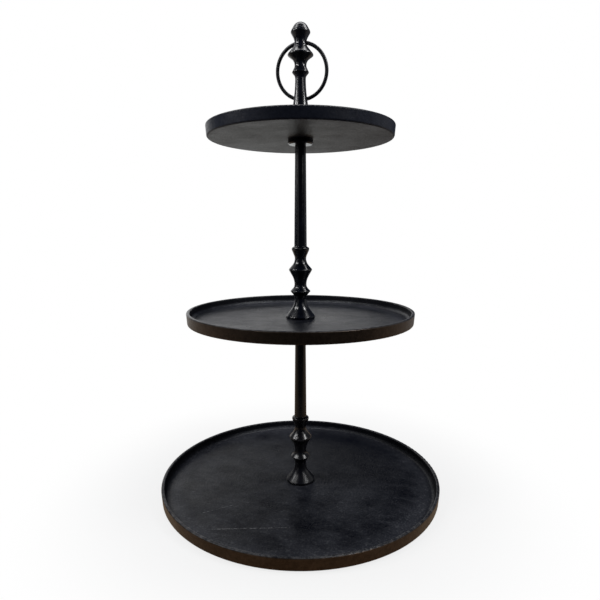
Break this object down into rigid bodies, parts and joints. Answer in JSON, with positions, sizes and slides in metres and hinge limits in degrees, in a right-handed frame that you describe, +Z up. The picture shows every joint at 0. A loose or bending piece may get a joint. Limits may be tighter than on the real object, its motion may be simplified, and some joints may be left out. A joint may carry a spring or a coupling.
{
  "type": "tiered tray stand",
  "caption": "Black tiered serving stand: round rimmed trays of falling size on turned baluster stems, with a finial and a hinged carrying ring.",
  "frame": {"origin": "on the stand's upright axis, on the surface that the pads stand on", "axes": "+Z up along the stems, X along the cross hole that the ring turns in, +Y to the back, where the ring rests"},
  "size_m": [0.5007, 0.5006, 0.7962],
  "materials": {
    "tray_black": "satin",
    "turned_black": "satin",
    "wire_black": "satin",
    "zinc_steel": "satin",
    "pad_rubber": "matte"
  },
  "bodies": {
    "stand": {"bottom_tray": "tray_black", "middle_tray": "tray_black", "top_tray": "tray_black", "lower_stem": "turned_black", "upper_stem": "turned_black", "lower_support_disc": "turned_black", "upper_support_disc": "turned_black", "finial": "turned_black", "middle_stud": "zinc_steel", "top_stud": "zinc_steel", "base_screw": "zinc_steel", "base_pad_1": "pad_rubber", "base_pad_2": "pad_rubber", "base_pad_3": "pad_rubber", "base_pad_4": "pad_rubber"},
    "ring": {"carry_ring": "wire_black"}
  },
  "joints": [
    {"name": "ring_swing", "type": "hinge", "parent": "stand", "child": "ring", "pos_m": [0, 0, 0.7648], "axis": [1, 0, 0], "range_deg": [0, 340.6]}
  ]
}
